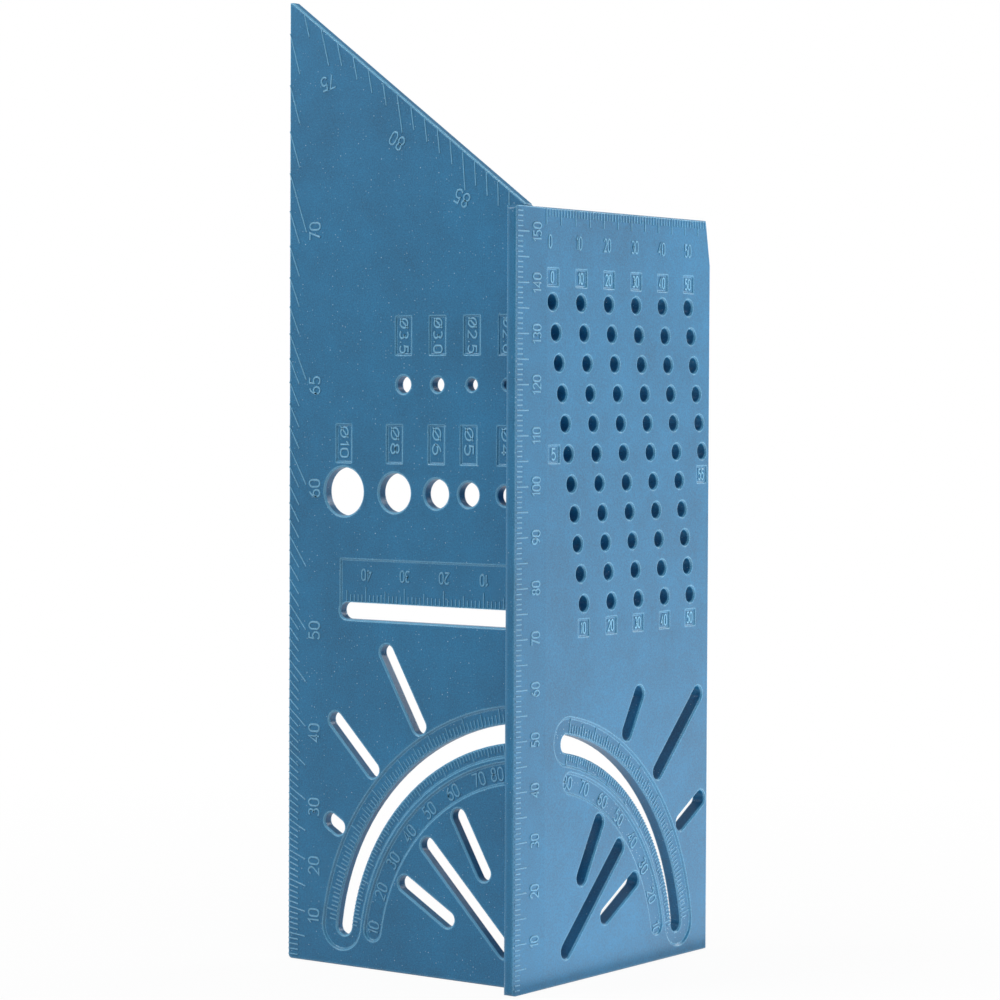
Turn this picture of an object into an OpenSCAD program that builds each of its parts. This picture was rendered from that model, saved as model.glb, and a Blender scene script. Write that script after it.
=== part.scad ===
// Three-dimensional mitre square: a marking fence and a mitre blade that stands edge-on in it.
// Each plate is drawn flat first: u runs away from the inside corner, v runs up the tool and
// the face that carries the marks is at z = 0, with the thickness below it.

/* [Plates] */
// Thickness of the fence
fence_t = 3; // [2.8:0.1:4]
// Thickness of the blade
blade_t = 2.2; // [2:0.1:3]
// Height of the fence, which is the length of its long scale
fence_h = 155; // [150:1:200]
// Width of the fence behind the blade's back face
fence_reach = 61; // [61:1:90]
// Width of the fence's lip, measured forward from the blade's back face
fence_lip = 9; // [6:0.5:15]
// Width of the blade, from the fence's inner face to its free edge
blade_w = 60.4; // [59:0.2:90]
// Slope of the blade's mitred end above the horizontal
mitre_angle = 36; // [20:0.5:45]
// Rise of the blade's heel above the fence's top edge
heel_rise = 0.8; // [0:0.1:1.5]
// Width of the flat that blunts the blade's tip
tip_flat = 0.9; // [0.6:0.1:3]

/* [Blade seat] */
// Depth in the fence of the tongue along the blade's inner edge
seat_depth = 1.2; // [0.6:0.1:1.6]
// Thickness of that tongue
tongue_t = 1.2; // [0.8:0.1:1.4]
// Clearance between the blade's edge and the walls of its seat
seat_clear = 0.05; // [0.02:0.01:0.08]

/* [Edges] */
// Chamfer along the plates' outer edges
edge_break = 0.25; // [0.15:0.05:0.5]
// Chamfer at the mouth of each hole and slot
mouth_break = 0.3; // [0.1:0.05:0.4]
// Radius along the fence's near edge on its marked face
near_round = 0.5; // [0.3:0.1:0.8]
// Radius along the fence's near edge on its inner face
lip_round = 1.2; // [0.6:0.1:1.4]
// Radius of the fence's near corners and of the blade's lower free corner
foot_round = 0.8; // [0.5:0.1:3]
// Width of the sloping land under the fence's long scale
land_w = 10.2; // [4:0.1:12]
// Fall of that land at the near edge
land_fall = 0.3; // [0.1:0.05:0.5]
// Width of the taper at the fence's far top corner
taper_w = 1.7; // [0.5:0.1:6]
// Height of that taper
taper_h = 9.4; // [4:0.1:20]

/* [Pencil holes] */
// Diameter of a pencil hole
pencil_d = 3.2; // [2:0.1:4]
// Number of rows
pencil_rows = 11; // [6:1:11]
// Number of columns
pencil_columns = 6; // [3:1:6]
// Rows in the last, shorter column
pencil_last_rows = 6; // [1:1:6]
// Distance between columns
column_pitch = 9.85; // [6:0.05:9.9]
// Distance between rows
row_pitch = 6.03; // [4.5:0.01:6.5]
// Step of each row away from the corner
row_step = 1.13; // [0.5:0.01:1.2]
// Distance of the first hole from the blade's back face
pencil_first = 3.2; // [2.5:0.1:4]
// Depth of the first row below the fence's top edge
pencil_drop = 18.6; // [16:0.1:24]

/* [Gauge holes] */
// Diameter of the lower row's first hole, nearest the free edge
low_d_1 = 10; // [9:0.1:11]
// Diameter of the lower row's second hole
low_d_2 = 8; // [7:0.1:9]
// Diameter of the lower row's third hole
low_d_3 = 6; // [5:0.1:7]
// Diameter of the lower row's fourth hole
low_d_4 = 5; // [4:0.1:6]
// Diameter of the lower row's fifth hole
low_d_5 = 4; // [3:0.1:5]
// Distance of the first hole from the fence's inner face
low_u_1 = 45.7; // [43.5:0.1:49]
// Distance of the second hole from the fence's inner face
low_u_2 = 32.5; // [30.5:0.1:34]
// Distance of the third hole from the fence's inner face
low_u_3 = 21.8; // [21:0.1:23]
// Distance of the fourth hole from the fence's inner face
low_u_4 = 13.7; // [12:0.1:14.5]
// Distance of the fifth hole from the fence's inner face
low_u_5 = 4.6; // [3.6:0.1:5.4]
// Height of the lower row
gauge_low_v = 98; // [94:0.5:99]
// Diameter of the upper row's first hole, nearest the free edge
high_d_1 = 3.5; // [3:0.1:4.5]
// Diameter of the upper row's second hole
high_d_2 = 3; // [2.5:0.1:4]
// Diameter of the upper row's third hole
high_d_3 = 2.5; // [2:0.1:3.5]
// Diameter of the upper row's fourth hole
high_d_4 = 2; // [1.5:0.1:3]
// Distance of the upper row's last hole from the fence's inner face
gauge_high_last = 4.3; // [3.6:0.1:7]
// Distance between the upper row's holes
gauge_high_pitch = 8.65; // [7:0.05:12]
// Height of the upper row
gauge_high_v = 120; // [119:0.5:124]

/* [Label pockets] */
// Depth of the label pockets
pocket_depth = 0.3; // [0.1:0.05:0.6]
// Run of the sloping walls round the pockets and the scale panel
pocket_run = 0.3; // [0.1:0.05:0.6]
// Width of a pencil column's pocket
pencil_label_w = 4; // [3:0.1:5]
// Height of a pencil column's pocket
pencil_label_h = 3.7; // [3:0.1:4]
// Distance from a pencil hole to the pocket above or below it
pencil_label_gap = 4.9; // [4.5:0.1:5.5]
// Distance from a pencil hole to the pocket beside it
pencil_label_side = 5; // [4:0.1:6]
// Width of a gauge hole's pocket
gauge_label_w = 4.2; // [3:0.1:5]
// Height of a gauge hole's pocket
gauge_label_h = 8; // [6:0.1:9]
// Distance from a gauge hole's centre to its pocket's centre
gauge_label_gap = 9.9; // [9.6:0.1:11]

/* [Straight slot] */
// Width of the straight slot
straight_w = 3.5; // [2.5:0.1:4]
// Distance of the slot's outer end from the fence's inner face
straight_far = 46.6; // [30:0.1:51]
// Distance of the slot's inner end from the fence's inner face
straight_near = 1.8; // [1.2:0.1:10]
// Height of the slot's middle line
straight_v = 73.5; // [72.5:0.1:77]
// Height of the scale panel above the slot's upper edge
panel_h = 9; // [4:0.1:10]
// Depth of the scale panel
panel_depth = 0.3; // [0.1:0.05:0.6]

/* [Protractors] */
// Radius of the arc slot's middle line, which carries the bands and the spokes with it
arc_r = 49.2; // [44:0.1:50]
// Width of the arc slot
arc_w = 3.7; // [2.5:0.1:4.5]
// Angle where the fence's arc starts above the base
fence_arc_from = 8.5; // [8:0.5:20]
// Angle where the fence's arc ends
fence_arc_to = 80.5; // [70:0.5:82]
// Angle by which the fence's number band stops short of its arc at each end
fence_number_cut = 2.5; // [0.5:0.5:6]
// Angle where the blade's arc starts above the base
blade_arc_from = 7; // [6.5:0.5:20]
// Angle where the blade's arc ends
blade_arc_to = 81.5; // [70:0.5:82]
// Angle by which the blade's number band stops short of its arc at each end
blade_number_cut = 1; // [0.5:0.5:6]
// Distance of the degree band's middle line outside the arc slot's
band_out = 0.4; // [0:0.1:1]
// Width of the degree band
band_w = 10.2; // [8:0.1:10.6]
// Distance of the number band's middle line inside the arc slot's
number_in = 7.7; // [7.4:0.1:8.2]
// Width of the number band
number_w = 4.6; // [3:0.1:5]
// Depth of both bands
band_depth = 0.4; // [0.1:0.05:0.6]
// Run of the sloping walls along both bands
band_run = 0.45; // [0.1:0.05:0.6]
// Distance of the fence's arc centre behind the blade's back face
fence_arc_u = 1.1; // [0.5:0.1:2]
// Height of the fence's arc centre
fence_arc_v = -0.3; // [-0.5:0.1:1]
// Distance of the blade's arc centre beyond the fence's inner face
blade_arc_u = -3.2; // [-4:0.1:-2]
// Height of the blade's arc centre
blade_arc_v = 2.1; // [1.5:0.1:2.5]

/* [Spoke slots] */
// Width of a spoke slot
spoke_w = 3.3; // [2.5:0.1:3.6]
// Distance of the fence's spoke centre behind the blade's back face
fence_spoke_u = 2.2; // [1.5:0.1:2.6]
// Gap between the fence's number band and the spokes inside it
fence_gap_in = 0.5; // [0.2:0.1:3]
// Gap between the fence's degree band and the spokes outside it
fence_gap_out = 0.8; // [0.2:0.1:2]
// Length of the fence's middle spoke inside the arc
fence_in_mid = 29.9; // [16:0.1:31]
// Length of the fence's side spokes inside the arc
fence_in_side = 15.5; // [8:0.1:18]
// Length of the fence's middle spoke outside the arc
fence_out_mid = 24.6; // [8:0.1:25]
// Length of the fence's side spokes outside the arc
fence_out_side = 12.1; // [6:0.1:12.6]
// Distance of the blade's spoke centre beyond the fence's inner face
blade_spoke_u = -3.7; // [-4:0.1:-3]
// Height of the blade's spoke centre
blade_spoke_v = -0.7; // [-1:0.1:0]
// Gap between the blade's number band and the spokes inside it
blade_gap_in = 1.05; // [0.2:0.05:3]
// Gap between the blade's degree band and the spokes outside it
blade_gap_out = 0.4; // [0.2:0.05:2]
// Length of the blade's middle spoke inside the arc
blade_in_mid = 30.6; // [16:0.1:31]
// Length of the blade's side spokes inside the arc
blade_in_side = 15.8; // [8:0.1:18]
// Length of the blade's high spoke outside the arc
blade_out_high = 20.1; // [8:0.1:21]
// Length of the blade's middle spoke outside the arc
blade_out_mid = 17; // [8:0.1:20]
// Length of the blade's low spoke outside the arc
blade_out_low = 5.5; // [5:0.1:6]

/* [Hidden] */
$fn = 64;
eps = 0.05;
plastic_light = [0.39, 0.57, 0.72];
plastic_dark = [0.25, 0.46, 0.6];
through = fence_t + blade_t;
blade_heel_h = fence_h + heel_rise;
blade_tip_h = blade_heel_h + (blade_w - tip_flat) * tan(mitre_angle);
shoulder_depth = edge_break - seat_clear;
blade_edge_h = blade_heel_h - shoulder_depth * tan(mitre_angle);
blade_root_h = blade_heel_h - seat_depth * tan(mitre_angle);
centre_x = (fence_t - blade_w) / 2;
centre_y = (fence_reach - fence_lip) / 2;
pencil_top_v = fence_h - pencil_drop;
band_r = arc_r + band_out;
number_r = arc_r - number_in;
// Gauge holes as [distance from the fence's inner face, diameter]
gauge_low = [
    [low_u_1, low_d_1],
    [low_u_2, low_d_2],
    [low_u_3, low_d_3],
    [low_u_4, low_d_4],
    [low_u_5, low_d_5]
];
gauge_high_d = [high_d_4, high_d_3, high_d_2, high_d_1];
// Spoke slots as [angle, length]
low_spoke = 30;
mid_spoke = 45;
high_spoke = 60;
fence_in = [[low_spoke, fence_in_side], [mid_spoke, fence_in_mid], [high_spoke, fence_in_side]];
fence_out = [[low_spoke, fence_out_side], [mid_spoke, fence_out_mid], [high_spoke, fence_out_side]];
blade_in = [[low_spoke, blade_in_side], [mid_spoke, blade_in_mid], [high_spoke, blade_in_side]];
blade_out = [[low_spoke, blade_out_low], [mid_spoke, blade_out_mid], [high_spoke, blade_out_high]];
// Steps from each plate's spoke centre to its arc centre
fence_shift = [fence_arc_u - fence_spoke_u, fence_arc_v];
blade_shift = [blade_arc_u - blade_spoke_u, blade_arc_v - blade_spoke_v];
fence_outline = [
    [-fence_lip, 0],
    [fence_reach, 0],
    [fence_reach, fence_h - taper_h],
    [fence_reach - taper_w, fence_h],
    [-fence_lip, fence_h]
];
blade_outline = [
    [-shoulder_depth, 0],
    [blade_w, 0],
    [blade_w, blade_tip_h],
    [blade_w - tip_flat, blade_tip_h],
    [-shoulder_depth, blade_edge_h]
];
tongue_outline = [
    [-seat_depth, 0],
    [0, 0],
    [0, blade_edge_h],
    [-seat_depth, blade_root_h]
];

// Place of a pencil hole on the fence
function pencil_at(column, row) = [
    pencil_first + column * column_pitch + row * row_step,
    pencil_top_v - row * row_pitch
];

// Distance along a spoke at which it crosses a circle about the arc centre
function crossing(r, angle, shift) = r + shift * [cos(angle), sin(angle)];

// How far a sunk form's sloping wall has spread a hair above the marked face
function wall_over(depth, run) = eps * run / depth;

// Profile of a sunk form, w wide at the marked face, with sloping walls
function sunk_profile(w, depth, run) = [
    [run - w / 2, -depth],
    [w / 2 - run, -depth],
    [w / 2 + wall_over(depth, run), eps],
    [-w / 2 - wall_over(depth, run), eps]
];

// Rows in a pencil column
function rows_in(column) = column < pencil_columns - 1 ? pencil_rows : pencil_last_rows;

// Wedge that breaks the straight edge from a to b on both faces of a plate of thickness t
module broken_edge(a, b, t) {
    run = norm(b - a);
    turn = atan2(b[1] - a[1], b[0] - a[0]);
    cut = edge_break + eps;
    translate([a[0], a[1], 0]) rotate([0, 0, turn]) translate([-eps, 0, 0]) rotate([90, 0, 90])
        linear_extrude(run + 2 * eps) {
            polygon([[-eps, -cut], [cut, eps], [-eps, eps]]);
            polygon([[-eps, cut - t], [-eps, -t - eps], [cut, -t - eps]]);
        }
}

// Stock outside a rounded corner, broken on both faces of a plate of thickness t, corner at the origin
module rounded_corner(r, t) {
    translate([0, 0, -t]) difference() {
        translate([-eps, -eps, -eps]) cube([r + eps, r + eps, t + 2 * eps]);
        translate([r, r, edge_break]) cylinder(r = r, h = t - 2 * edge_break);
        translate([r, r, -eps]) cylinder(r1 = r - edge_break - eps, r2 = r, h = edge_break + eps);
        translate([r, r, t - edge_break])
            cylinder(r1 = r, r2 = r - edge_break - eps, h = edge_break + eps);
    }
}

// Stock outside a long round along v, with the edge at the origin and the plate at +u and +z
module long_round(r, run) {
    rotate([-90, 0, 0]) translate([0, 0, -eps]) difference() {
        translate([-eps, -r, 0]) cube([r + eps, r + eps, run + 2 * eps]);
        translate([r, -r, -eps]) cylinder(r = r, h = run + 4 * eps);
    }
}

// Round hole right through a plate, with a broken mouth on the marked face
module drilled(at, d) {
    translate([at[0], at[1], 0]) {
        translate([0, 0, -through]) cylinder(d = d, h = through + eps);
        mouth_ring(d);
    }
}

// Cone that breaks the mouth of a round opening
module mouth_ring(d) {
    translate([0, 0, -mouth_break])
        cylinder(r1 = d / 2, r2 = d / 2 + mouth_break + eps, h = mouth_break + eps);
}

// Slot with round ends from u = 0 to u = run, w wide, with a broken mouth
module slotted(run, w) {
    straight = run - w;
    flare = w / 2 + mouth_break + eps;
    translate([w / 2, 0, 0]) {
        translate([0, -w / 2, -through]) cube([straight, w, through + eps]);
        rotate([90, 0, 90]) linear_extrude(straight) polygon([
            [-w / 2, -mouth_break],
            [w / 2, -mouth_break],
            [flare, eps],
            [-flare, eps]
        ]);
        for (end = [0, straight]) drilled([end, 0], w);
    }
}

// Curved band about the origin, sunk into the marked face, with round ends a hair narrower
module sunk_band(r, w, from, to) {
    end_r = (w - eps) / 2;
    rotate([0, 0, from]) rotate_extrude(angle = to - from, $fn = 180)
        translate([r, 0]) polygon(sunk_profile(w, band_depth, band_run));
    for (end = [from, to]) rotate([0, 0, end]) translate([r, 0, -band_depth])
        cylinder(r1 = end_r - band_run, r2 = end_r + wall_over(band_depth, band_run), h = band_depth + eps);
}

// Curved slot about the origin with a broken mouth, and round ends a hair narrower than the slot
module arc_slot(from, to) {
    flare = arc_w / 2 + mouth_break + eps;
    end_d = arc_w - eps;
    rotate([0, 0, from]) rotate_extrude(angle = to - from, $fn = 180)
        translate([arc_r - arc_w / 2, -through]) square([arc_w, through + eps]);
    rotate([0, 0, from]) rotate_extrude(angle = to - from, $fn = 180)
        translate([arc_r, -band_depth - mouth_break]) polygon([
            [-arc_w / 2, 0],
            [arc_w / 2, 0],
            [flare, mouth_break + eps],
            [-flare, mouth_break + eps]
        ]);
    for (end = [from, to]) rotate([0, 0, end]) translate([arc_r, 0, 0]) {
        translate([0, 0, -through]) cylinder(d = end_d, h = through + eps);
        translate([0, 0, -band_depth]) mouth_ring(end_d);
    }
}

// Arc slot in its degree band, with a number band inside it that is shorter by an angle at each end
module protractor_arc(from, to, cut) {
    sunk_band(band_r, band_w, from, to);
    sunk_band(number_r, number_w, from + cut, to - cut);
    arc_slot(from, to);
}

// Spoke slots that end short of the number band
module inner_spokes(spokes, gap, shift) {
    for (s = spokes) {
        end = crossing(number_r - number_w / 2, s[0], shift) - gap;
        rotate([0, 0, s[0]]) translate([end - s[1], 0, 0]) slotted(s[1], spoke_w);
    }
}

// Spoke slots that start clear of the degree band
module outer_spokes(spokes, gap, shift) {
    for (s = spokes) {
        start = crossing(band_r + band_w / 2, s[0], shift) + gap;
        rotate([0, 0, s[0]]) translate([start, 0, 0]) slotted(s[1], spoke_w);
    }
}

// Sunk rectangle on the marked face with sloping walls, centred on a point
module sunk_panel(at, w, h, depth) {
    spare = 2 * pocket_run;
    translate([at[0], at[1], 0]) intersection() {
        rotate([90, 0, 0]) linear_extrude(h + spare, center = true)
            polygon(sunk_profile(w, depth, pocket_run));
        rotate([90, 0, 90]) linear_extrude(w + spare, center = true)
            polygon(sunk_profile(h, depth, pocket_run));
    }
}

// Pocket behind a label
module label_pocket(at, w, h) {
    sunk_panel(at, w, h, pocket_depth);
}

// Pockets for the numbers around the pencil holes
module pencil_labels() {
    up = [0, pencil_label_gap];
    side = [pencil_label_side, 0];
    last = pencil_columns - 1;
    middle = floor(pencil_rows / 2);
    for (column = [0:last]) {
        label_pocket(pencil_at(column, 0) + up, pencil_label_w, pencil_label_h);
        label_pocket(pencil_at(column, rows_in(column) - 1) - up, pencil_label_w, pencil_label_h);
    }
    label_pocket(pencil_at(0, middle) - side, pencil_label_w, pencil_label_h);
}

// Gauge hole with its label pocket above it
module gauge_hole(at, d) {
    drilled(at, d);
    label_pocket(at + [0, gauge_label_gap], gauge_label_w, gauge_label_h);
}

// Straight slot with the sunk scale panel above it
module straight_slot() {
    run = straight_far - straight_near;
    rise = straight_w / 2 + panel_h;
    translate([straight_near, straight_v, 0]) {
        slotted(run, straight_w);
        sunk_panel([run / 2, rise / 2], run, rise, panel_depth);
    }
}

// Sloping land under the long scale on the fence's marked face
module scale_land() {
    fall = land_fall / land_w;
    rotate([-90, 0, 0]) translate([0, 0, -eps]) linear_extrude(fence_h + 2 * eps) polygon([
        [-fence_lip - eps, land_fall + eps * fall],
        [-fence_lip - eps, -eps],
        [-fence_lip + land_w + eps / fall, -eps]
    ]);
}

// Tongue along the blade's inner edge, midway in its thickness
module blade_tongue() {
    translate([0, 0, -(blade_t + tongue_t) / 2]) linear_extrude(tongue_t) polygon(tongue_outline);
}

// Cut up the fence's inner face, behind the middle of the blade's thickness
module seat_cut(wide, deep) {
    translate([-(blade_t + wide) / 2, -eps, -fence_t - eps]) cube([wide, fence_h + 2 * eps, deep + eps]);
}

// Seat in the fence: a channel that the blade's broken edge bears in, and a groove for its tongue
module blade_seat() {
    seat_cut(blade_t + 2 * seat_clear, shoulder_depth);
    seat_cut(tongue_t + 2 * seat_clear, seat_depth + seat_clear);
}

module fence_flat() {
    difference() {
        translate([0, 0, -fence_t]) linear_extrude(fence_t) polygon(fence_outline);
        for (i = [0:len(fence_outline) - 2]) broken_edge(fence_outline[i], fence_outline[i + 1], fence_t);
        scale_land();
        translate([-fence_lip, 0, -fence_t]) long_round(lip_round, fence_h);
        translate([-fence_lip, 0, -land_fall]) mirror([0, 0, 1]) long_round(near_round, fence_h);
        translate([-fence_lip, 0, 0]) rounded_corner(foot_round, fence_t);
        translate([-fence_lip, fence_h, 0]) mirror([0, 1, 0]) rounded_corner(foot_round, fence_t);
        blade_seat();
        for (column = [0:pencil_columns - 1]) for (row = [0:rows_in(column) - 1])
            drilled(pencil_at(column, row), pencil_d);
        pencil_labels();
        translate([fence_arc_u, fence_arc_v, 0])
            protractor_arc(fence_arc_from, fence_arc_to, fence_number_cut);
        translate([fence_spoke_u, 0, 0]) {
            inner_spokes(fence_in, fence_gap_in, fence_shift);
            outer_spokes(fence_out, fence_gap_out, fence_shift);
        }
    }
}

module blade_flat() {
    corners = len(blade_outline);
    difference() {
        translate([0, 0, -blade_t]) linear_extrude(blade_t) polygon(blade_outline);
        for (i = [0:corners - 1])
            broken_edge(blade_outline[i], blade_outline[(i + 1) % corners], blade_t);
        translate([blade_w, 0, 0]) mirror([1, 0, 0]) rounded_corner(foot_round, blade_t);
        for (hole = gauge_low) gauge_hole([hole[0], gauge_low_v], hole[1]);
        for (i = [0:len(gauge_high_d) - 1])
            gauge_hole([gauge_high_last + i * gauge_high_pitch, gauge_high_v], gauge_high_d[i]);
        straight_slot();
        translate([blade_arc_u, blade_arc_v, 0])
            protractor_arc(blade_arc_from, blade_arc_to, blade_number_cut);
        translate([blade_spoke_u, blade_spoke_v, 0]) {
            inner_spokes(blade_in, blade_gap_in, blade_shift);
            outer_spokes(blade_out, blade_gap_out, blade_shift);
        }
    }
    blade_tongue();
}

module fence_plate() {
    color(plastic_light) translate([fence_t - centre_x, -centre_y, 0]) rotate([90, 0, 90]) fence_flat();
}

module mitre_blade() {
    color(plastic_dark) translate([-centre_x, -centre_y - blade_t, 0]) mirror([1, 0, 0])
        rotate([90, 0, 0]) blade_flat();
}

fence_plate();
mitre_blade();
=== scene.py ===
import math

import bmesh
import bpy
from mathutils import Matrix, Vector


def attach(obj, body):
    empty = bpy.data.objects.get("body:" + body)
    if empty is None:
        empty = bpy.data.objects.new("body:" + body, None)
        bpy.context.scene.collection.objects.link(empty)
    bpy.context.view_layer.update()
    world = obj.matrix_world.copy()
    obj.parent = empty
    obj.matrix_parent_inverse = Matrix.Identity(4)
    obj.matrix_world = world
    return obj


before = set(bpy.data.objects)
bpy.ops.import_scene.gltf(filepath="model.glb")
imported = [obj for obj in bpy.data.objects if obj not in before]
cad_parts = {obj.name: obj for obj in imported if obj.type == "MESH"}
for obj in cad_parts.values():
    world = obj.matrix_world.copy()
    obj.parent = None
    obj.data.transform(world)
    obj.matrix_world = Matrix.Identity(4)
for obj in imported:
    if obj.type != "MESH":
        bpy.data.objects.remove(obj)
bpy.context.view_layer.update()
print("frame loaded:", sorted(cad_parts))

mm = 0.001

# Plate frames in millimetres: u runs from the inside corner, v runs up, lift is out of the marked face
plates = {
    "fenceX": 31.7,        # outer face of the fence
    "fenceU": -26.0,       # blade's back face, where the fence's u is zero
    "bladeY": -28.2,       # front face of the blade
    "bladeU": 29.5,        # blade's u is zero here, 2.2 mm inside the fence's outer face
    "landEnd": 1.2,        # the fence's land starts to fall here
    "landW": 10.2,
    "landFall": 0.3,
}


def onFence(u, v, lift):
    fall = max(0.0, plates["landEnd"] - u) * plates["landFall"] / plates["landW"]
    return Vector((plates["fenceX"] + lift - fall, plates["fenceU"] + u, v)) * mm


def onBlade(u, v, lift):
    return Vector((plates["bladeU"] - u, plates["bladeY"] - lift, v)) * mm


# Camera at the photograph's viewing angle
cameraSpec = {
    "place": (0.395136, -0.537017, 0.117906),
    "right": (0.80696, 0.59060, 0.00417),
    "forward": (-0.59017, 0.80661, -0.03289),
    "lens": 114.48,
    "sensor": 36.0,
}


def makeCamera(spec):
    data = bpy.data.cameras.new("photoCamera")
    data.lens = spec["lens"]
    data.sensor_width = spec["sensor"]
    data.sensor_fit = "HORIZONTAL"
    data.clip_start = 0.01
    data.clip_end = 50.0
    camera = bpy.data.objects.new("photoCamera", data)
    bpy.context.scene.collection.objects.link(camera)
    across = Vector(spec["right"]).normalized()
    back = -Vector(spec["forward"]).normalized()
    up = back.cross(across).normalized()
    turn = Matrix((across, up, back)).transposed().to_4x4()
    camera.matrix_world = Matrix.Translation(Vector(spec["place"])) @ turn
    bpy.context.scene.camera = camera


makeCamera(cameraSpec)
print("camera set")


# Node helpers
class Graph:
    def __init__(self, tree):
        self.tree = tree

    def add(self, kind, **values):
        node = self.tree.nodes.new(kind)
        for key, value in values.items():
            setattr(node, key, value)
        return node

    def link(self, source, target):
        self.tree.links.new(source, target)

    def math(self, operation, a, b=None):
        node = self.add("ShaderNodeMath", operation=operation)
        for socket, value in zip(node.inputs, (a, b)):
            if value is None:
                continue
            if isinstance(value, (int, float)):
                socket.default_value = value
            else:
                self.link(value, socket)
        return node.outputs[0]

    def noise(self, vector, scale, detail, roughness=0.5):
        node = self.add("ShaderNodeTexNoise")
        node.inputs["Scale"].default_value = scale
        node.inputs["Detail"].default_value = detail
        node.inputs["Roughness"].default_value = roughness
        self.link(vector, node.inputs["Vector"])
        return node.outputs["Fac"]

    def span(self, value, low, high, outLow=0.0, outHigh=1.0):
        node = self.add("ShaderNodeMapRange")
        node.inputs["From Min"].default_value = low
        node.inputs["From Max"].default_value = high
        node.inputs["To Min"].default_value = outLow
        node.inputs["To Max"].default_value = outHigh
        self.link(value, node.inputs["Value"])
        return node.outputs["Result"]

    def blend(self, factor, a, b):
        node = self.add("ShaderNodeMix", data_type="RGBA")
        self.link(factor, node.inputs["Factor"])
        for socket, value in zip((node.inputs[6], node.inputs[7]), (a, b)):
            if isinstance(value, tuple):
                socket.default_value = value
            else:
                self.link(value, socket)
        return node.outputs[2]


plasticSpec = {
    "deep": (0.003, 0.092, 0.196, 1.0),
    "pale": (0.012, 0.211, 0.432, 1.0),
    "speck": (0.36, 0.56, 0.70, 1.0),
    # colour of the painted highlight on open edges, chamfers and marks
    "paintedHighlight": (0.28, 0.66, 0.92, 1.0),
    "noiseRange": (0.3, 0.7),
    "cloudScale": (48.0, 210.0),
    "cloudShare": (0.28, 0.18),
    "grainScale": 3800.0,
    "grainRange": (0.35, 0.65),
    "grainShare": 0.54,
    "bump": (0.16, 0.00006),           # strength and height of the grain
    "rough": (0.30, 0.46),
    "specular": 0.5,
    "speckScale": 1500.0,
    "speckSize": (0.20, 0.09),
    "speckRare": 5.0,
    "edgeRadius": 0.00025,
    "rimRadius": 0.00050,
    "edgeTurn": (0.995, 0.89),
    "edgeSmooth": 0.16,
    "smoothOver": 0.3,
    "chamferTilt": ((0.40, 0.55), (0.97, 0.90)),
    "cornerReach": 0.0012,
    "cornerOpen": (0.55, 0.9),
    "cornerBare": (0.9, 1.0),
}


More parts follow.
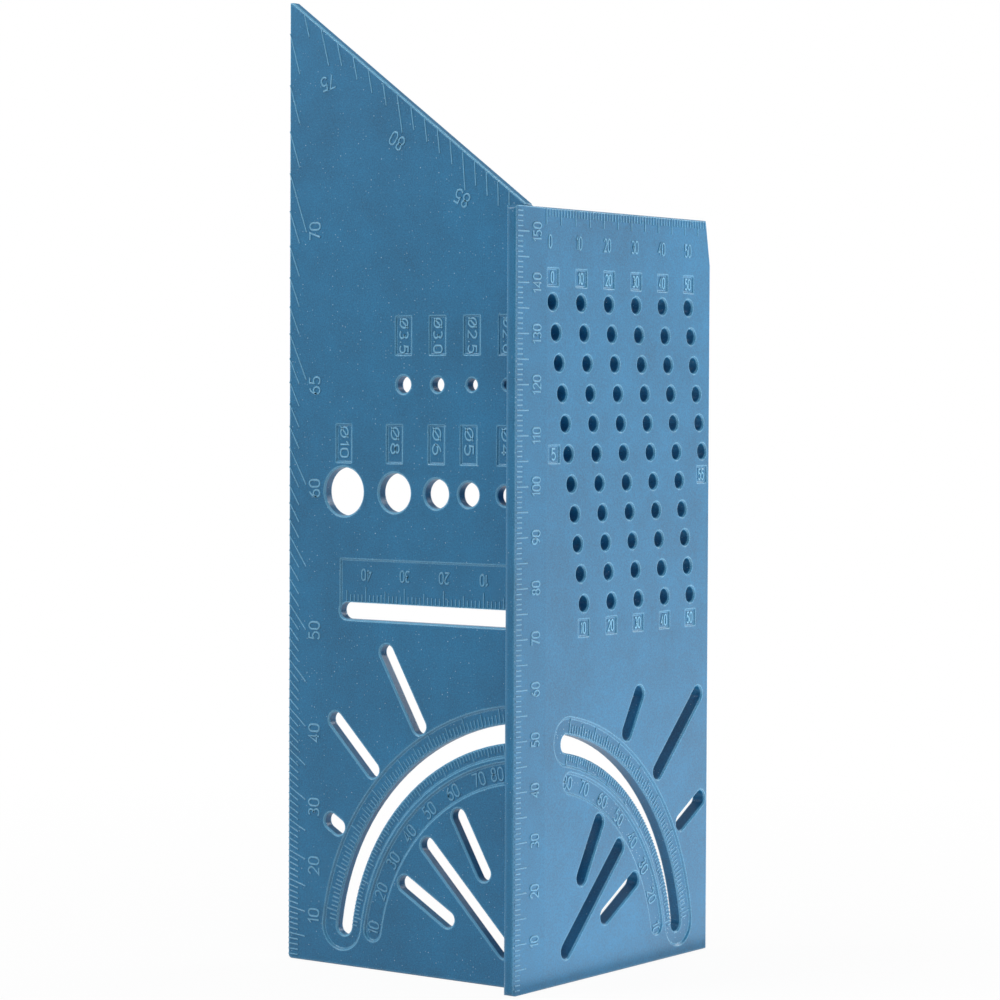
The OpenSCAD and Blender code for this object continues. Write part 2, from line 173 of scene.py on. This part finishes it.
# Satin moulded plastic: cloudy colour, fine grain and pale specks, with a painted highlight that lightens
# the open edges and the chamfers, which are also smoother
def makePlastic(name, spec, finish):
    material = bpy.data.materials.new(name)
    material.use_nodes = True
    g = Graph(material.node_tree)
    shader = material.node_tree.nodes["Principled BSDF"]
    place = g.add("ShaderNodeTexCoord").outputs["Object"]
    wide, close = [g.span(g.noise(place, scale, 3.0), *spec["noiseRange"], 0.0, share)
                   for scale, share in zip(spec["cloudScale"], spec["cloudShare"])]
    grain = g.noise(place, spec["grainScale"], 2.0, 0.6)
    fine = g.span(grain, *spec["grainRange"], 0.0, spec["grainShare"])
    tone = g.math("ADD", g.math("ADD", wide, close), fine)
    base = g.blend(tone, spec["deep"], spec["pale"])
    cells = g.add("ShaderNodeTexVoronoi")
    cells.inputs["Scale"].default_value = spec["speckScale"]
    g.link(place, cells.inputs["Vector"])
    pick = g.add("ShaderNodeSeparateColor")
    g.link(cells.outputs["Color"], pick.inputs["Color"])
    dot = g.span(cells.outputs["Distance"], *spec["speckSize"])
    rare = g.math("POWER", pick.outputs["Red"], spec["speckRare"])
    specked = g.blend(g.math("MULTIPLY", dot, rare), base, spec["speck"])
    bevel, rim = [g.add("ShaderNodeBevel", samples=6) for _ in range(2)]
    bevel.inputs["Radius"].default_value = spec["edgeRadius"]
    rim.inputs["Radius"].default_value = spec["rimRadius"]
    geometry = g.add("ShaderNodeNewGeometry")
    # Masks for the painted highlight: edges where the rounded normal bends away from the true one, and
    # faces tilted like chamfers, both only where the surroundings are open
    bend = g.add("ShaderNodeVectorMath", operation="DOT_PRODUCT")
    g.link(rim.outputs["Normal"], bend.inputs[0])
    g.link(geometry.outputs["True Normal"], bend.inputs[1])
    edge = g.span(bend.outputs["Value"], *spec["edgeTurn"], finish["flat"], finish["edge"])
    tilt = g.add("ShaderNodeVectorMath", operation="DOT_PRODUCT")
    tilt.inputs[1].default_value = finish["facing"]
    g.link(geometry.outputs["True Normal"], tilt.inputs[0])
    lean = g.math("ABSOLUTE", tilt.outputs["Value"])
    steep, flat = [g.span(lean, *ends) for ends in spec["chamferTilt"]]
    corner = g.add("ShaderNodeAmbientOcclusion", samples=12)
    corner.inputs["Distance"].default_value = spec["cornerReach"]
    bare = g.span(corner.outputs["AO"], *spec["cornerBare"], 0.0, finish["chamfer"])
    chamfer = g.math("MULTIPLY", g.math("MULTIPLY", steep, flat), bare)
    edge = g.math("MULTIPLY", edge, g.span(corner.outputs["AO"], *spec["cornerOpen"]))
    outer = g.math("MAXIMUM", edge, chamfer)
    # Painted highlight: open edges, chamfers and the marks' flats are blended toward a pale blue
    g.link(g.blend(outer, specked, spec["paintedHighlight"]), shader.inputs["Base Color"])
    smooth = g.span(outer, finish["flat"], finish["flat"] + spec["smoothOver"], 0.0, spec["edgeSmooth"])
    rough = g.math("SUBTRACT", g.span(grain, *spec["noiseRange"], *spec["rough"]), smooth)
    g.link(rough, shader.inputs["Roughness"])
    shader.inputs["Specular IOR Level"].default_value = spec["specular"]
    bump = g.add("ShaderNodeBump")
    bump.inputs["Strength"].default_value, bump.inputs["Distance"].default_value = spec["bump"]
    g.link(grain, bump.inputs["Height"])
    g.link(bevel.outputs["Normal"], bump.inputs["Normal"])
    g.link(bump.outputs["Normal"], shader.inputs["Normal"])
    return material


# How much the painted highlight lightens the flats, the edges and the chamfers of each plate and each set
# of marks
finishes = {
    "fence_plate": {"facing": (1.0, 0.0, 0.0), "flat": 0.0, "edge": 0.75, "chamfer": 0.15},
    "mitre_blade": {"facing": (0.0, -1.0, 0.0), "flat": 0.0, "edge": 0.9, "chamfer": 0.5},
    "clearMarks": {"facing": (0.0, 0.0, 0.0), "flat": 0.5, "edge": 0.7, "chamfer": 0.0},
    "plainMarks": {"facing": (0.0, 0.0, 0.0), "flat": 0.40, "edge": 0.6, "chamfer": 0.0},
    "faintMarks": {"facing": (0.0, 0.0, 0.0), "flat": 0.27, "edge": 0.47, "chamfer": 0.0},
}
plastics = {}
for name, finish in finishes.items():
    plastics[name] = makePlastic(name + "Plastic", plasticSpec, finish)
for nodeName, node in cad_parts.items():
    if nodeName in plastics:
        node.data.materials.clear()
        node.data.materials.append(plastics[nodeName])
print("plastic made")


# Single-line figures on a cell one unit high
bowStep = 24        # degrees


def bow(x, y, rx, ry, start, stop):
    count = max(4, round(abs(stop - start) / bowStep))
    turns = [math.radians(start + (stop - start) * i / count) for i in range(count + 1)]
    return [(x + rx * math.cos(t), y + ry * math.sin(t)) for t in turns]


figures = {
    "0": (0.58, [bow(0.29, 0.70, 0.29, 0.30, 0, 180) + bow(0.29, 0.30, 0.29, 0.30, 180, 360)
                 + [(0.58, 0.70)]]),
    "1": (0.30, [[(0.0, 0.76), (0.24, 1.0), (0.24, 0.0)]]),
    "2": (0.58, [bow(0.29, 0.71, 0.29, 0.29, 165, -35) + [(0.0, 0.0), (0.58, 0.0)]]),
    "3": (0.58, [bow(0.27, 0.76, 0.25, 0.24, 150, -90) + bow(0.27, 0.26, 0.30, 0.26, 90, -150)]),
    "4": (0.60, [[(0.44, 0.0), (0.44, 1.0), (0.0, 0.27), (0.60, 0.27)]]),
    "5": (0.58, [[(0.54, 1.0), (0.09, 1.0), (0.05, 0.56)] + bow(0.27, 0.32, 0.31, 0.32, 125, -150)]),
    "6": (0.58, [bow(0.58, 0.32, 0.58, 0.68, 105, 180) + bow(0.29, 0.31, 0.29, 0.31, 180, 540)]),
    "7": (0.58, [[(0.0, 1.0), (0.58, 1.0), (0.20, 0.0)]]),
    "8": (0.58, [bow(0.29, 0.77, 0.24, 0.23, 0, 360), bow(0.29, 0.27, 0.29, 0.27, 0, 360)]),
    "9": (0.58, [bow(0.0, 0.68, 0.58, 0.68, -75, 0) + bow(0.29, 0.69, 0.29, 0.31, 0, 360)]),
    "Ø": (0.80, [bow(0.40, 0.5, 0.36, 0.46, 0, 360), [(0.0, 0.02), (0.80, 0.98)]]),
    ".": (0.10, [[(0.0, 0.05), (0.10, 0.05)]]),
}
letterGap = 0.24


def textWidth(text):
    return sum(figures[c][0] for c in text) + letterGap * (len(text) - 1)


# Strokes of a text, centred on a point of the plate and turned about it
def textStrokes(text, centre, height, turn, squeeze=1.0):
    across = textWidth(text)
    c, s = math.cos(math.radians(turn)), math.sin(math.radians(turn))
    strokes = []
    x = -across / 2
    for letter in text:
        wide, lines = figures[letter]
        for line in lines:
            local = [((x + px) * height * squeeze, (py - 0.5) * height) for px, py in line]
            strokes.append([(centre[0] + a * c - b * s, centre[1] + a * s + b * c) for a, b in local])
        x += wide + letterGap
    return strokes


# Raised ridge with sloping flanks along a line on a plate
def addRidge(bm, line, onPlate, spec, base):
    closed = math.dist(line[0], line[-1]) < 1e-6
    points = [Vector(p) for p in (line[:-1] if closed else line)]
    count = len(points)
    rings = []
    for i, p in enumerate(points):
        before = points[i - 1] if closed or i else None
        after = points[(i + 1) % count] if closed or i < count - 1 else None
        one = (p - before).normalized() if before is not None else (after - p).normalized()
        two = (after - p).normalized() if after is not None else one
        mean = (one + two).normalized()
        side = Vector((-mean.y, mean.x)) / max(0.5, mean.dot(one))
        foot, crown = spec["foot"] / 2, spec["crown"] / 2
        low, high = base - spec["sink"], base + spec["height"]
        ends = ((-foot, low), (-crown, high), (crown, high), (foot, low))
        rings.append([bm.verts.new(onPlate(p.x + side.x * a, p.y + side.y * a, b)) for a, b in ends])
    pairs = list(zip(rings, rings[1:])) + ([(rings[-1], rings[0])] if closed else [])
    for a, b in pairs:
        for k in range(4):
            bm.faces.new((a[k], a[(k + 1) % 4], b[(k + 1) % 4], b[k]))
    if not closed:
        bm.faces.new(rings[0])
        bm.faces.new(rings[-1][::-1])


def makeMarks(name, onPlate, spec, finish, lines, base=0.0):
    bm = bmesh.new()
    for line in lines:
        addRidge(bm, line, onPlate, spec, base)
    bmesh.ops.recalc_face_normals(bm, faces=bm.faces)
    mesh = bpy.data.meshes.new(name)
    bm.to_mesh(mesh)
    bm.free()
    piece = bpy.data.objects.new(name, mesh)
    bpy.context.scene.collection.objects.link(piece)
    mesh.materials.append(plastics[finish])
    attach(piece, "root")
    return piece


ridge = {"foot": 0.48, "crown": 0.28, "height": 0.12, "sink": 0.03}
fineRidge = {"foot": 0.36, "crown": 0.20, "height": 0.10, "sink": 0.03}


def step(value, short, middle, long):
    return long if value % 10 == 0 else middle if value % 5 == 0 else short


# Long scale up the fence's near edge, and the scale along its top
longScale = {"height": 155, "edge": -8.5, "short": -6.75, "middle": -4.8, "numberU": -2.2,
             "glyph": 2.5, "squeeze": 0.74}
topScale = {"zero": 0.83, "count": 58, "edge": 154.7, "short": 153.2, "middle": 151.6,
            "numberV": 148.3, "numberShift": 1.2, "glyph": 2.5, "squeeze": 0.64}
lines = []
for k in range(1, longScale["height"]):
    end = step(k, longScale["short"], longScale["middle"], longScale["middle"])
    lines.append([(longScale["edge"], k), (end, k)])
makeMarks("fenceLongTicks", onFence, fineRidge, "faintMarks", lines)
lines = []
for k in range(10, longScale["height"], 10):
    lines += textStrokes(str(k), (longScale["numberU"], k), longScale["glyph"], 90, longScale["squeeze"])
makeMarks("fenceLongNumbers", onFence, ridge, "faintMarks", lines)
lines = []
for k in range(topScale["count"] + 1):
    end = step(k, topScale["short"], topScale["middle"], topScale["middle"])
    lines.append([(topScale["zero"] + k, topScale["edge"]), (topScale["zero"] + k, end)])
makeMarks("fenceTopTicks", onFence, fineRidge, "faintMarks", lines)
lines = []
for k in range(0, 51, 10):
    centre = (topScale["zero"] + k + topScale["numberShift"], topScale["numberV"])
    lines += textStrokes(str(k), centre, topScale["glyph"], 0, topScale["squeeze"])
makeMarks("fenceTopNumbers", onFence, ridge, "faintMarks", lines)
print("fence scales made")

# Numbers in the pockets around the pencil holes
pencils = {"first": 3.2, "top": 136.4, "column": 9.85, "row": 6.03, "step": 1.13, "gap": 4.9,
           "side": 5.0, "depth": 0.3, "glyph": 2.2, "squeeze": 0.66, "columns": 6,
           "lastRow": 10, "middleRow": 5}        # rows from the top; the last column ends at the middle one


def pencilAt(column, row):
    u = pencils["first"] + column * pencils["column"] + row * pencils["step"]
    return (u, pencils["top"] - row * pencils["row"])


lines = []
for column in range(pencils["columns"]):
    u, v = pencilAt(column, 0)
    lines += textStrokes(str(column * 10), (u, v + pencils["gap"]), pencils["glyph"], 0, pencils["squeeze"])
    last = pencils["lastRow"] if column < pencils["columns"] - 1 else pencils["middleRow"]
    u, v = pencilAt(column, last)
    label = str(column * 10 + last)
    lines += textStrokes(label, (u, v - pencils["gap"]), pencils["glyph"], 0, pencils["squeeze"])
u, v = pencilAt(0, pencils["middleRow"])
lines += textStrokes(str(pencils["middleRow"]), (u - pencils["side"], v), pencils["glyph"], 0)
makeMarks("pencilNumbers", onFence, ridge, "clearMarks", lines, -pencils["depth"])
print("pencil numbers made")

# Degree marks and numbers of the two protractors
arcs = {"outer": 51.3, "outerTicks": (1.8, 2.5, 3.0), "inner": 47.1, "innerTicks": (-1.4, -1.9, -2.2),
        "depth": 0.4, "numberR": 41.5, "glyph": 2.6, "squeeze": 0.8}
fenceArc = {"centre": (1.1, -0.3), "from": 9, "to": 80, "moved": {80: 78.6}}
bladeArc = {"centre": (-2.4, 2.1), "from": 8, "to": 81, "moved": {10: 8.9, 80: 76.5}}


def arcLines(arc):
    centre = arc["centre"]
    found = []
    for k in range(arc["from"], arc["to"] + 1):
        t = math.radians(k)
        for side in ("outer", "inner"):
            ends = (arcs[side], arcs[side] + step(k, *arcs[side + "Ticks"]))
            found.append([(centre[0] + r * math.cos(t), centre[1] + r * math.sin(t)) for r in ends])
    return found


# Blade text is written as it is seen from the front, where u runs to the left
def bladeText(text, centre, height, turn, squeeze=1.0):
    strokes = textStrokes(text, (0.0, 0.0), height, turn, squeeze)
    return [[(centre[0] - a, centre[1] + b) for a, b in line] for line in strokes]


def numberAt(arc, k):
    t = math.radians(arc["moved"].get(k, k))
    u, v = arc["centre"]
    return (u + arcs["numberR"] * math.cos(t), v + arcs["numberR"] * math.sin(t))


fenceNumbers = []
bladeNumbers = []
for k in range(10, 90, 10):
    fenceNumbers += textStrokes(str(k), numberAt(fenceArc, k), arcs["glyph"], k - 90, arcs["squeeze"])
    bladeNumbers += bladeText(str(k), numberAt(bladeArc, k), arcs["glyph"], 90 - k, arcs["squeeze"])
makeMarks("fenceArcTicks", onFence, fineRidge, "faintMarks", arcLines(fenceArc), -arcs["depth"])
makeMarks("fenceArcNumbers", onFence, ridge, "faintMarks", fenceNumbers, -arcs["depth"])
makeMarks("bladeArcTicks", onBlade, fineRidge, "faintMarks", arcLines(bladeArc), -arcs["depth"])
makeMarks("bladeArcNumbers", onBlade, ridge, "faintMarks", bladeNumbers, -arcs["depth"])
print("protractor marks made")

# Sizes in the pockets above the gauge holes
gauges = {
    "lowTop": 111.4,
    "highTop": 133.4,
    "depth": 0.3,
    "glyph": 2.1,
    # text, middle and length of each
    "low": (("Ø10", 46.5, 6.3), ("Ø8", 33.3, 5.4), ("Ø6", 22.6, 5.4), ("Ø5", 14.5, 5.4), ("Ø4", 5.4, 5.4)),
    "high": (("Ø3.5", 31.05, 7.0), ("Ø3.0", 22.4, 7.0), ("Ø2.5", 13.75, 7.0), ("Ø2.0", 5.1, 7.0)),
}
lines = []
for row, top in (("low", gauges["lowTop"]), ("high", gauges["highTop"])):
    for text, u, run in gauges[row]:
        squeeze = run / (textWidth(text) * gauges["glyph"])
        lines += bladeText(text, (u, top - run / 2), gauges["glyph"], -90, squeeze)
makeMarks("gaugeSizes", onBlade, ridge, "clearMarks", lines, -gauges["depth"])

# Scale above the straight slot
slotScale = {"zero": 0.78, "from": 3, "to": 45, "edge": 75.45, "short": 76.9, "middle": 77.7, "long": 78.5,
             "numberV": 81.0, "numberShift": -0.13, "depth": 0.3, "glyph": 2.2, "squeeze": 0.76}
lines = []
for k in range(slotScale["from"], slotScale["to"] + 1):
    end = step(k, slotScale["short"], slotScale["middle"], slotScale["long"])
    lines.append([(slotScale["zero"] + k, slotScale["edge"]), (slotScale["zero"] + k, end)])
makeMarks("slotTicks", onBlade, fineRidge, "faintMarks", lines, -slotScale["depth"])
lines = []
for k in (10, 20, 30, 40):
    centre = (slotScale["zero"] + k + slotScale["numberShift"], slotScale["numberV"])
    lines += bladeText(str(k), centre, slotScale["glyph"], 180, slotScale["squeeze"])
makeMarks("slotNumbers", onBlade, ridge, "faintMarks", lines, -slotScale["depth"])
print("gauge sizes and slot scale made")

# Degree scale round the blade's free edge and sloping end
edgeScale = {
    "pivots": ((45, (-1.85, -0.1)), (62, (0.64, 2.47)), (73, (5.87, 12.37))),        # each up to its degree
    "topPivot": (2.0, 3.8),
    "freeU": 61.0,
    "short": 58.4,
    "long": 56.5,
    "topShort": 4.8,
    "topLong": 7.8,
    "tipGap": 0.6,
    "inset": 0.45,
    "heelV": 155.22,        # where the sloping end starts, and its angle
    "mitre": 36.0,
    "numberU": 54.2,
    "glyph": 2.75,
    "squeeze": 0.9,
}
# Height of each number on the free edge, and place and turn of those on the sloping end
edgeNumbers = {"10": 9.5, "20": 20.0, "30": 32.2, "40": 47.7, "50": 69.0, "60": 98.5,
               "65": 119.8, "70": 151.6}
topNumbers = {"75": (50.8, 182.0, 193), "80": (32.8, 169.3, 145), "85": (16.3, 157.2, 152)}
slope = math.tan(math.radians(edgeScale["mitre"]))
lines = []
for k in range(1, 74):
    pivot = next(p for last, p in edgeScale["pivots"] if k <= last)
    rise = math.tan(math.radians(k))
    end = edgeScale["long"] if k % 5 == 0 else edgeScale["short"]
    ends = [(u, pivot[1] + (u - pivot[0]) * rise) for u in (edgeScale["freeU"], end)]
    if ends[0][1] <= edgeScale["heelV"] + edgeScale["freeU"] * slope - edgeScale["tipGap"]:
        lines.append(ends)
for k in range(74, 90):
    pivot = edgeScale["topPivot"]
    rise = math.tan(math.radians(k))
    u = (edgeScale["heelV"] - edgeScale["inset"] - pivot[1] + pivot[0] * rise) / (rise - slope)
    v = pivot[1] + (u - pivot[0]) * rise
    size = edgeScale["topLong"] if k % 5 == 0 else edgeScale["topShort"]
    t = math.radians(k)
    lines.append([(u, v), (u - size * math.cos(t), v - size * math.sin(t))])
makeMarks("bladeEdgeTicks", onBlade, fineRidge, "plainMarks", lines)
lines = []
for text, v in edgeNumbers.items():
    lines += bladeText(text, (edgeScale["numberU"], v), edgeScale["glyph"], 90, edgeScale["squeeze"])
for text, (u, v, turn) in topNumbers.items():
    lines += bladeText(text, (u, v), edgeScale["glyph"], turn, edgeScale["squeeze"])
makeMarks("bladeEdgeNumbers", onBlade, ridge, "plainMarks", lines)
print("blade edge scale made")


# White background that the camera and glossy surfaces see, by a share for the glossy ones
def whiteRays(g, glossShare):
    path = g.add("ShaderNodeLightPath")
    gloss = g.math("MULTIPLY", path.outputs["Is Glossy Ray"], glossShare)
    either = g.math("MAXIMUM", path.outputs["Is Camera Ray"], gloss)
    return g.math("MAXIMUM", either, path.outputs["Is Transmission Ray"])


floorSpec = {
    "half": 3.0,
    "drop": -0.0002,
    "color": (0.80, 0.80, 0.80, 1.0),
    "rough": 0.9,
    "keep": 0.95,              # share of white near the part, so that its shadow shows
    "fade": (0.06, 0.32),
    "gloss": 1.0,
}


def makeFloor(spec):
    half = spec["half"]
    mesh = bpy.data.meshes.new("floor")
    corners = [(x * half, y * half, spec["drop"]) for x, y in ((-1, -1), (1, -1), (1, 1), (-1, 1))]
    mesh.from_pydata(corners, [], [(0, 1, 2, 3)])
    floor = bpy.data.objects.new("floor", mesh)
    bpy.context.scene.collection.objects.link(floor)
    material = bpy.data.materials.new("paleFloor")
    material.use_nodes = True
    g = Graph(material.node_tree)
    shader = material.node_tree.nodes["Principled BSDF"]
    shader.inputs["Base Color"].default_value = spec["color"]
    shader.inputs["Roughness"].default_value = spec["rough"]
    white = g.add("ShaderNodeEmission")
    mix = g.add("ShaderNodeMixShader")
    away = g.add("ShaderNodeVectorMath", operation="LENGTH")
    g.link(g.add("ShaderNodeNewGeometry").outputs["Position"], away.inputs[0])
    keep = g.span(away.outputs["Value"], *spec["fade"], spec["keep"], 1.0)
    g.link(g.math("MULTIPLY", whiteRays(g, spec["gloss"]), keep), mix.inputs[0])
    g.link(shader.outputs[0], mix.inputs[1])
    g.link(white.outputs[0], mix.inputs[2])
    g.link(mix.outputs[0], material.node_tree.nodes["Material Output"].inputs["Surface"])
    mesh.materials.append(material)


# A light tent: bright all round, darker overhead and towards its opening at the front right
worldSpec = {
    "color": (0.97, 0.98, 1.0, 1.0),
    "opening": (0.59, -0.81, 0.0),
    "turn": (-0.12, 0.58),
    "strength": (1.25, 0.15),
    "rise": (0.12, 0.48),
    "overhead": 0.28,
    "gloss": (0.3, 0.0),
}


def makeWorld(spec):
    world = bpy.data.worlds.new("studio")
    bpy.context.scene.world = world
    world.use_nodes = True
    g = Graph(world.node_tree)
    soft = world.node_tree.nodes["Background"]
    soft.inputs["Color"].default_value = spec["color"]
    white = g.add("ShaderNodeBackground")
    white.inputs["Color"].default_value = (1.0, 1.0, 1.0, 1.0)
    along = g.add("ShaderNodeVectorMath", operation="DOT_PRODUCT")
    along.inputs[1].default_value = spec["opening"]
    place = g.add("ShaderNodeTexCoord").outputs["Generated"]
    g.link(place, along.inputs[0])
    apart = g.add("ShaderNodeSeparateXYZ")
    g.link(place, apart.inputs[0])
    low = g.span(apart.outputs["Z"], *spec["rise"], 1.0, spec["overhead"])
    level = g.span(along.outputs["Value"], *spec["turn"], *spec["strength"])
    g.link(g.math("MULTIPLY", level, low), soft.inputs["Strength"])
    share = g.math("MULTIPLY", g.span(along.outputs["Value"], *spec["turn"], *spec["gloss"]), low)
    mix = g.add("ShaderNodeMixShader")
    g.link(whiteRays(g, share), mix.inputs[0])
    g.link(soft.outputs[0], mix.inputs[1])
    g.link(white.outputs[0], mix.inputs[2])
    g.link(mix.outputs[0], world.node_tree.nodes["World Output"].inputs["Surface"])


# Soft boxes at the upper left front, overhead, behind and at the right, and a sheet along the floor
lightSpecs = {
    "key": {"place": (-0.50, -0.70, 0.70), "aim": (0.0, 0.0, 0.09),
            "size": (0.4, 0.4), "power": 5.2},
    "overhead": {"place": (0.25, -0.25, 1.0), "aim": (0.0, 0.0, 0.09),
                 "size": (0.3, 0.3), "power": 2.2},
    "backBox": {"place": (0.44, 0.88, 0.58), "aim": (0.0, 0.0, 0.09),
                "size": (0.6, 0.35), "power": 3.4},
    "floorSheet": {"place": (0.60, 0.68, 0.001), "aim": (0.60, 0.68, 1.0),
                   "size": (1.13, 1.44), "power": 5.7},
    "rightBox": {"place": (1.00, 0.15, 0.15), "aim": (0.0, 0.0, 0.06),
                 "size": (0.7, 0.4), "power": 3.2},
}


def makeLight(name, spec):
    data = bpy.data.lights.new(name, "AREA")
    data.shape = "RECTANGLE"
    data.size, data.size_y = spec["size"]
    data.energy = spec["power"]
    light = bpy.data.objects.new(name, data)
    bpy.context.scene.collection.objects.link(light)
    light.location = spec["place"]
    light.rotation_euler = (Vector(spec["aim"]) - light.location).to_track_quat("-Z", "Y").to_euler()
    light.visible_camera = False


makeFloor(floorSpec)
makeWorld(worldSpec)
for name, spec in lightSpecs.items():
    makeLight(name, spec)
bpy.context.scene.view_settings.view_transform = "Standard"
print("floor and light set")
